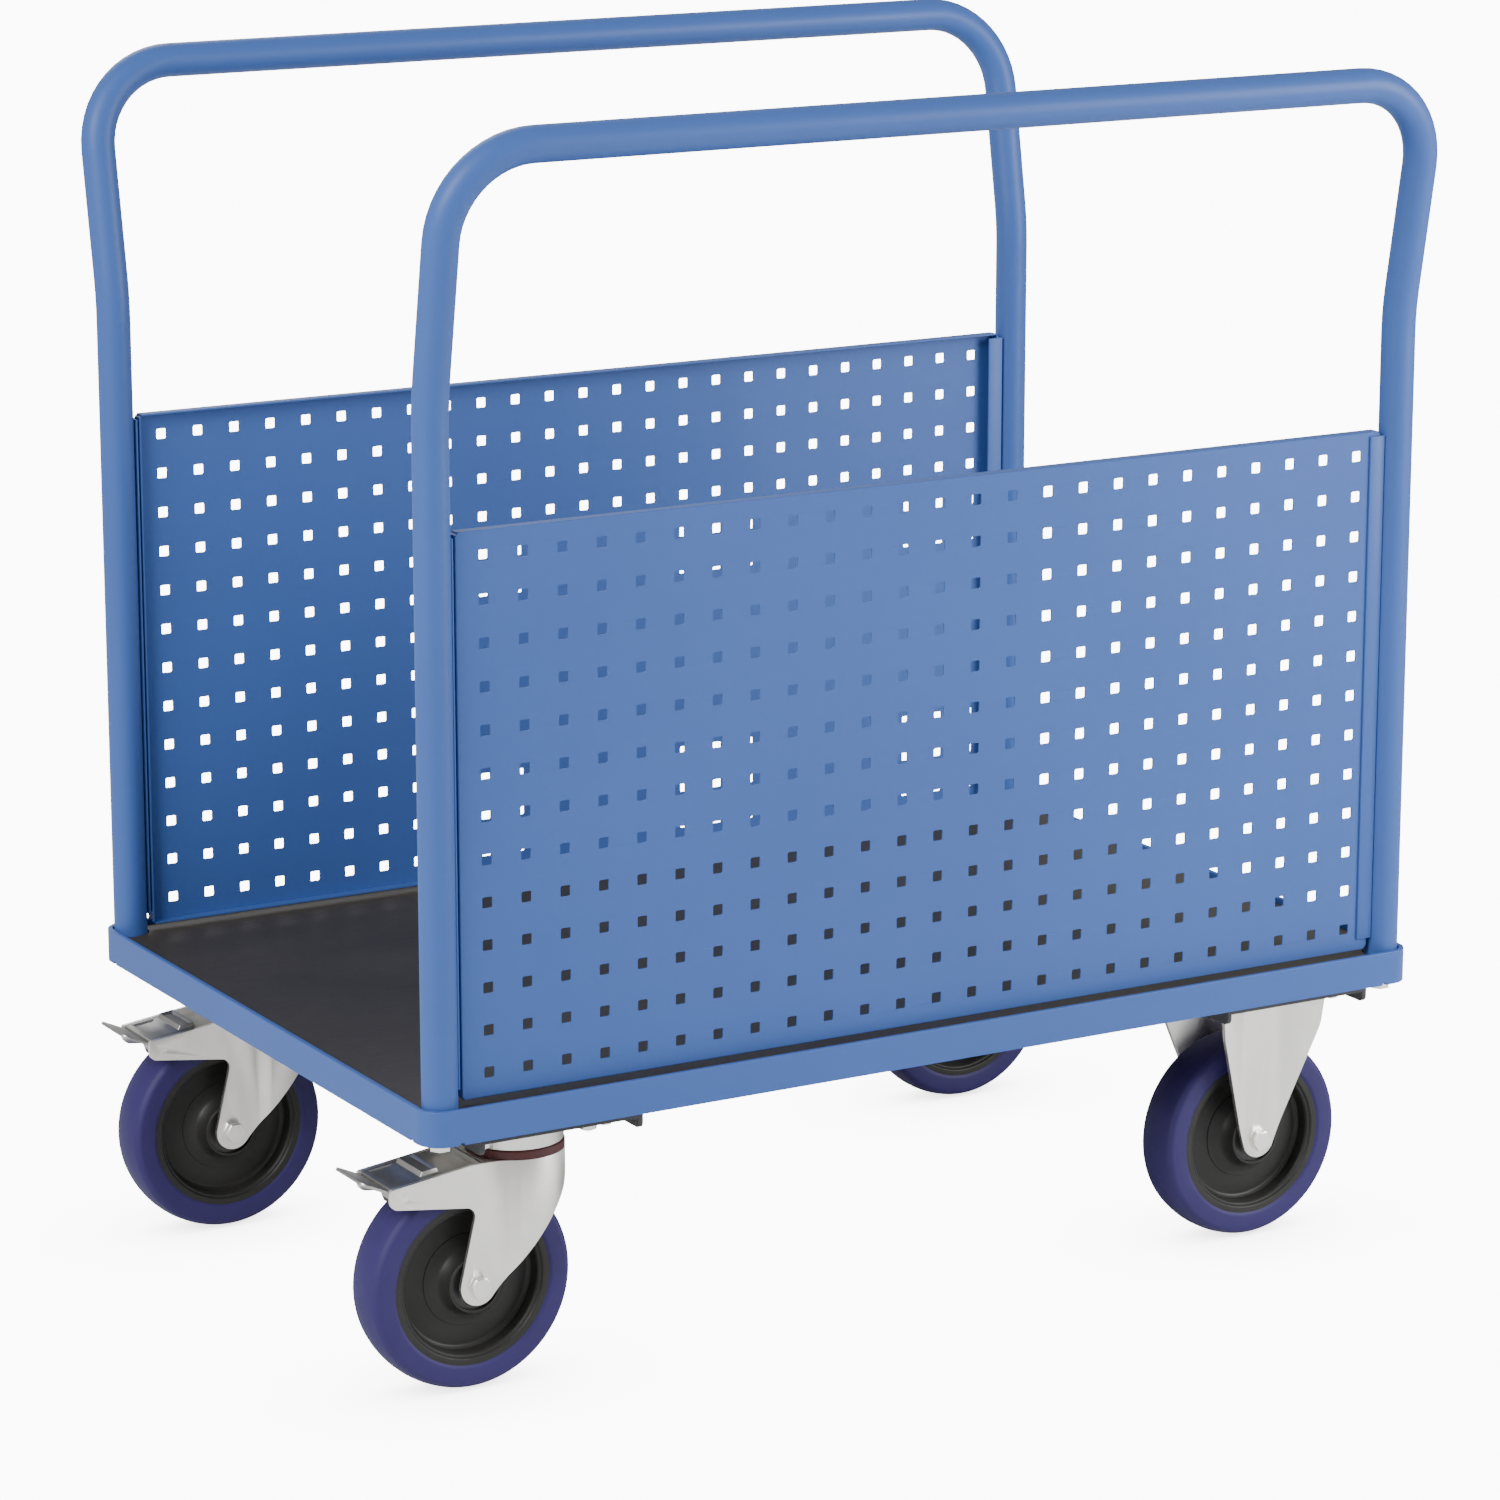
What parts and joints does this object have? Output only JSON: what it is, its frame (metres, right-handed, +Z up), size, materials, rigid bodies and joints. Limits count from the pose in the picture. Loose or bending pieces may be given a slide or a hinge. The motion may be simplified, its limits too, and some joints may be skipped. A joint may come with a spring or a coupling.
{
  "type": "platform truck",
  "caption": "Flatbed platform truck with a framed deck, perforated side panels in raised side hoops, two fixed castors and two swivel castors with foot brakes.",
  "frame": {"origin": "on the floor under the middle of the whole truck's box, pedals included", "axes": "+Z up from the floor; X along the deck with the braked swivel castors at -X and the fixed castors at +X; Y across the deck, from one side panel to the other"},
  "size_m": [1.0826, 0.7696, 1.132],
  "materials": {
    "blue_powder_coat": "fine satin powder coat, light to mid blue",
    "anthracite_steel": "anthracite paint, satin",
    "anthracite_board": "anthracite film-faced board, matt with a fine grain",
    "zinc_plated_steel": "zinc plated pressed sheet, satin",
    "brake_steel": "zinc plated pressed sheet, darker satin",
    "bearing_steel": "ground steel",
    "indigo_tyre": "indigo elastic rubber, satin",
    "black_polyamide": "moulded polyamide, satin",
    "seal_rubber": "dark red moulded seal",
    "black_rubber": "matt black rubber"
  },
  "bodies": {
    "chassis": {"deck_frame": "blue_powder_coat", "deck_board": "anthracite_board", "board_screws": "zinc_plated_steel", "rear_cross_beam": "anthracite_steel", "front_cross_beam": "anthracite_steel", "beam_bolts": "zinc_plated_steel", "near_side_hoop": "blue_powder_coat", "far_side_hoop": "blue_powder_coat", "hoop_foot_plugs": "zinc_plated_steel", "hoop_foot_bolts": "zinc_plated_steel", "near_side_panel": "blue_powder_coat", "far_side_panel": "blue_powder_coat", "near_panel_rails": "blue_powder_coat", "far_panel_rails": "blue_powder_coat", "castor_bolts": "zinc_plated_steel", "castor_lock_nuts": "zinc_plated_steel", "near_top_plate": "zinc_plated_steel", "far_top_plate": "zinc_plated_steel", "swivel_balls": "bearing_steel", "near_fixed_fork": "zinc_plated_steel", "far_fixed_fork": "zinc_plated_steel", "fixed_axle_bolts": "zinc_plated_steel", "fixed_axle_nuts": "zinc_plated_steel", "fixed_axle_sleeves": "zinc_plated_steel"},
    "near_swivel": {"near_swivel_race": "bearing_steel", "near_swivel_seal": "seal_rubber", "near_kingpin": "zinc_plated_steel", "near_swivel_fork": "zinc_plated_steel", "near_axle_bolt": "zinc_plated_steel", "near_axle_nut": "zinc_plated_steel", "near_axle_sleeve": "zinc_plated_steel", "near_brake_cover": "brake_steel", "near_pedal_spring": "bearing_steel", "near_pedal_pin": "zinc_plated_steel"},
    "near_pedal": {"near_brake_pedal": "brake_steel", "near_brake_pad": "black_rubber"},
    "near_rear_wheel": {"near_rear_tyre": "indigo_tyre", "near_rear_rim": "black_polyamide", "near_rear_bearings": "bearing_steel"},
    "near_front_wheel": {"near_front_tyre": "indigo_tyre", "near_front_rim": "black_polyamide", "near_front_bearings": "bearing_steel"},
    "far_swivel": {"far_swivel_race": "bearing_steel", "far_swivel_seal": "seal_rubber", "far_kingpin": "zinc_plated_steel", "far_swivel_fork": "zinc_plated_steel", "far_axle_bolt": "zinc_plated_steel", "far_axle_nut": "zinc_plated_steel", "far_axle_sleeve": "zinc_plated_steel", "far_brake_cover": "brake_steel", "far_pedal_spring": "bearing_steel", "far_pedal_pin": "zinc_plated_steel"},
    "far_pedal": {"far_brake_pedal": "brake_steel", "far_brake_pad": "black_rubber"},
    "far_rear_wheel": {"far_rear_tyre": "indigo_tyre", "far_rear_rim": "black_polyamide", "far_rear_bearings": "bearing_steel"},
    "far_front_wheel": {"far_front_tyre": "indigo_tyre", "far_front_rim": "black_polyamide", "far_front_bearings": "bearing_steel"}
  },
  "joints": [
    {"name": "near_castor_swivel", "type": "hinge", "parent": "chassis", "child": "near_swivel", "pos_m": [-0.37673, -0.258, 0.23], "axis": [0, 0, 1], "continuous": true},
    {"name": "near_brake_press", "type": "hinge", "parent": "near_swivel", "child": "near_pedal", "pos_m": [-0.50123, -0.258, 0.193], "axis": [0, -1, 0], "range_deg": [0, 16]},
    {"name": "near_rear_wheel_roll", "type": "hinge", "parent": "near_swivel", "child": "near_rear_wheel", "pos_m": [-0.43123, -0.258, 0.1], "axis": [0, 1, 0], "continuous": true},
    {"name": "near_front_wheel_roll", "type": "hinge", "parent": "chassis", "child": "near_front_wheel", "pos_m": [0.40927, -0.258, 0.1], "axis": [0, 1, 0], "continuous": true},
    {"name": "far_castor_swivel", "type": "hinge", "parent": "chassis", "child": "far_swivel", "pos_m": [-0.37673, 0.258, 0.23], "axis": [0, 0, 1], "continuous": true},
    {"name": "far_brake_press", "type": "hinge", "parent": "far_swivel", "child": "far_pedal", "pos_m": [-0.50123, 0.258, 0.193], "axis": [0, -1, 0], "range_deg": [0, 16]},
    {"name": "far_rear_wheel_roll", "type": "hinge", "parent": "far_swivel", "child": "far_rear_wheel", "pos_m": [-0.43123, 0.258, 0.1], "axis": [0, 1, 0], "continuous": true},
    {"name": "far_front_wheel_roll", "type": "hinge", "parent": "chassis", "child": "far_front_wheel", "pos_m": [0.40927, 0.258, 0.1], "axis": [0, 1, 0], "continuous": true}
  ]
}
